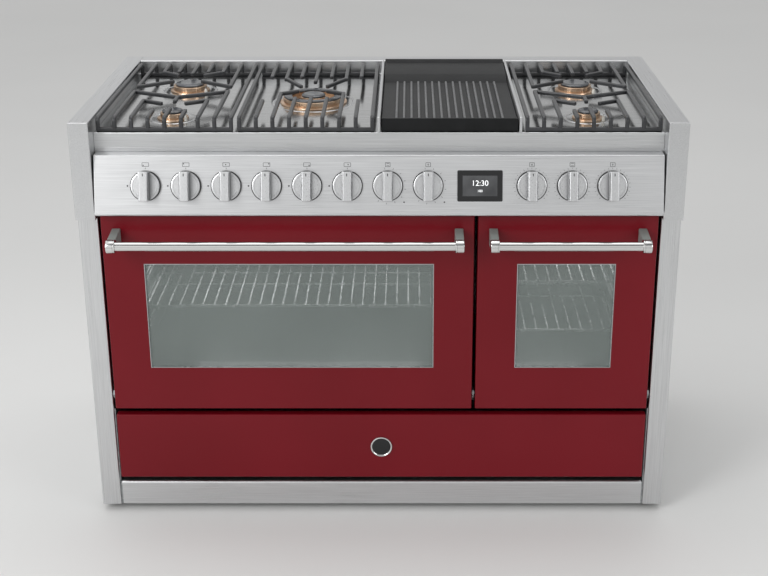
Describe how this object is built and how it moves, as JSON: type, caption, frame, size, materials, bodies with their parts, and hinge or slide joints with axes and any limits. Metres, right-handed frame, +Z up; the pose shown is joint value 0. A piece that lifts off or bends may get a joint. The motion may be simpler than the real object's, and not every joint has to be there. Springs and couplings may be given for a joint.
{
  "type": "range cooker",
  "caption": "Free-standing dual-fuel range cooker with a gas hob and griddle over two ovens with drop-down doors and a storage drawer.",
  "frame": {"origin": "on the floor, under the middle of the overall box, handles included", "axes": "+X to the right as seen from the front, +Y towards the wall behind, +Z up"},
  "size_m": [1.2, 0.6636, 0.8699],
  "materials": {
    "brushed_steel": "brushed",
    "galvanised": "matt zinc",
    "black_plastic": "satin",
    "oven_enamel": "gloss vitreous enamel",
    "chrome": "polished",
    "red_enamel": "satin burgundy enamel",
    "glass": "tinted, polished",
    "brass": "satin",
    "cap_enamel": "matt enamel",
    "cast_iron": "matt enamel"
  },
  "bodies": {
    "cooker_body": {"side_panel_left": "brushed_steel", "side_panel_right": "brushed_steel", "hob_side_rim_left": "brushed_steel", "hob_side_rim_right": "brushed_steel", "plinth": "brushed_steel", "control_panel": "brushed_steel", "hob_top": "brushed_steel", "chassis": "galvanised", "back_panel": "galvanised", "switch_rail": "galvanised", "foot_front_left": "black_plastic", "foot_front_right": "black_plastic", "foot_rear_left": "black_plastic", "foot_rear_right": "black_plastic", "display_unit": "black_plastic", "oven_cavity_left": "oven_enamel", "oven_cavity_right": "oven_enamel", "fan_cover": "oven_enamel", "rack_frame_left": "chrome", "rack_frame_right": "chrome", "gas_manifold": "brass", "burner_crown_front_left": "brass", "burner_crown_rear_left": "brass", "burner_crown_wok": "brass", "burner_crown_front_right": "brass", "burner_crown_rear_right": "brass", "burner_cap_front_left": "cap_enamel", "burner_cap_rear_left": "cap_enamel", "burner_cap_wok": "cap_enamel", "burner_cap_front_right": "cap_enamel", "burner_cap_rear_right": "cap_enamel"},
    "left_door": {"door_skin_left": "red_enamel", "door_window_left": "glass", "door_inner_glass_left": "glass", "door_handle_left": "chrome"},
    "right_door": {"door_skin_right": "red_enamel", "door_window_right": "glass", "door_inner_glass_right": "glass", "door_handle_right": "chrome"},
    "drawer": {"drawer_front": "red_enamel", "drawer_box": "galvanised", "drawer_badge": "chrome"},
    "left_rack": {"oven_rack_left": "chrome"},
    "right_lower_rack": {"oven_rack_right_lower": "chrome"},
    "right_upper_rack": {"oven_rack_right_upper": "chrome"},
    "left_grate": {"grate_left": "cast_iron"},
    "middle_grate": {"grate_middle": "cast_iron"},
    "right_grate": {"grate_right": "cast_iron"},
    "griddle_plate": {"griddle": "cast_iron"},
    "knob_01_body": {"knob_01": "brushed_steel"},
    "knob_02_body": {"knob_02": "brushed_steel"},
    "knob_03_body": {"knob_03": "brushed_steel"},
    "knob_04_body": {"knob_04": "brushed_steel"},
    "knob_05_body": {"knob_05": "brushed_steel"},
    "knob_06_body": {"knob_06": "brushed_steel"},
    "knob_07_body": {"knob_07": "brushed_steel"},
    "knob_08_body": {"knob_08": "brushed_steel"},
    "knob_09_body": {"knob_09": "brushed_steel"},
    "knob_10_body": {"knob_10": "brushed_steel"},
    "knob_11_body": {"knob_11": "brushed_steel"}
  },
  "joints": [
    {"name": "left_door_hinge", "type": "hinge", "parent": "cooker_body", "child": "left_door", "pos_m": [-0.1825, -0.23725, 0.276], "axis": [1, 0, 0], "range_deg": [0, 90], "stiffness_Nm_per_rad": 6, "springref_deg": -34.38},
    {"name": "right_door_hinge", "type": "hinge", "parent": "cooker_body", "child": "right_door", "pos_m": [0.3745, -0.23725, 0.276], "axis": [1, 0, 0], "range_deg": [0, 90], "stiffness_Nm_per_rad": 3, "springref_deg": -34.38},
    {"name": "drawer_slide", "type": "slide", "parent": "cooker_body", "child": "drawer", "axis": [0, -1, 0], "range_m": [0, 0.4]},
    {"name": "left_rack_slide", "type": "slide", "parent": "cooker_body", "child": "left_rack", "axis": [0, -1, 0], "range_m": [0, 0.03]},
    {"name": "right_lower_rack_slide", "type": "slide", "parent": "cooker_body", "child": "right_lower_rack", "axis": [0, -1, 0], "range_m": [0, 0.03]},
    {"name": "right_upper_rack_slide", "type": "slide", "parent": "cooker_body", "child": "right_upper_rack", "axis": [0, -1, 0], "range_m": [0, 0.03]},
    {"name": "left_grate_lift", "type": "slide", "parent": "cooker_body", "child": "left_grate", "axis": [0, 0, 1], "range_m": [0, 0.08]},
    {"name": "middle_grate_lift", "type": "slide", "parent": "cooker_body", "child": "middle_grate", "axis": [0, 0, 1], "range_m": [0, 0.08]},
    {"name": "right_grate_lift", "type": "slide", "parent": "cooker_body", "child": "right_grate", "axis": [0, 0, 1], "range_m": [0, 0.08]},
    {"name": "griddle_plate_lift", "type": "slide", "parent": "cooker_body", "child": "griddle_plate", "axis": [0, 0, 1], "range_m": [0, 0.08]},
    {"name": "knob_01_turn", "type": "hinge", "parent": "cooker_body", "child": "knob_01_body", "pos_m": [-0.456, -0.26972, 0.73846], "axis": [0, -0.9659, 0.2588], "range_deg": [0, 210]},
    {"name": "knob_02_turn", "type": "hinge", "parent": "cooker_body", "child": "knob_02_body", "pos_m": [-0.37717, -0.26972, 0.73846], "axis": [0, -0.9659, 0.2588], "range_deg": [0, 210]},
    {"name": "knob_03_turn", "type": "hinge", "parent": "cooker_body", "child": "knob_03_body", "pos_m": [-0.29833, -0.26972, 0.73846], "axis": [0, -0.9659, 0.2588], "range_deg": [0, 210]},
    {"name": "knob_04_turn", "type": "hinge", "parent": "cooker_body", "child": "knob_04_body", "pos_m": [-0.2195, -0.26972, 0.73846], "axis": [0, -0.9659, 0.2588], "range_deg": [0, 210]},
    {"name": "knob_05_turn", "type": "hinge", "parent": "cooker_body", "child": "knob_05_body", "pos_m": [-0.14067, -0.26972, 0.73846], "axis": [0, -0.9659, 0.2588], "range_deg": [0, 210]},
    {"name": "knob_06_turn", "type": "hinge", "parent": "cooker_body", "child": "knob_06_body", "pos_m": [-0.06183, -0.26972, 0.73846], "axis": [0, -0.9659, 0.2588], "range_deg": [0, 210]},
    {"name": "knob_07_turn", "type": "hinge", "parent": "cooker_body", "child": "knob_07_body", "pos_m": [0.017, -0.26972, 0.73846], "axis": [0, -0.9659, 0.2588], "range_deg": [-270, 0]},
    {"name": "knob_08_turn", "type": "hinge", "parent": "cooker_body", "child": "knob_08_body", "pos_m": [0.09583, -0.26972, 0.73846], "axis": [0, -0.9659, 0.2588], "range_deg": [-270, 0]},
    {"name": "knob_09_turn", "type": "hinge", "parent": "cooker_body", "child": "knob_09_body", "pos_m": [0.29833, -0.26972, 0.73846], "axis": [0, -0.9659, 0.2588], "range_deg": [-270, 0]},
    {"name": "knob_10_turn", "type": "hinge", "parent": "cooker_body", "child": "knob_10_body", "pos_m": [0.37717, -0.26972, 0.73846], "axis": [0, -0.9659, 0.2588], "range_deg": [-270, 0]},
    {"name": "knob_11_turn", "type": "hinge", "parent": "cooker_body", "child": "knob_11_body", "pos_m": [0.456, -0.26972, 0.73846], "axis": [0, -0.9659, 0.2588], "range_deg": [-270, 0]}
  ]
}
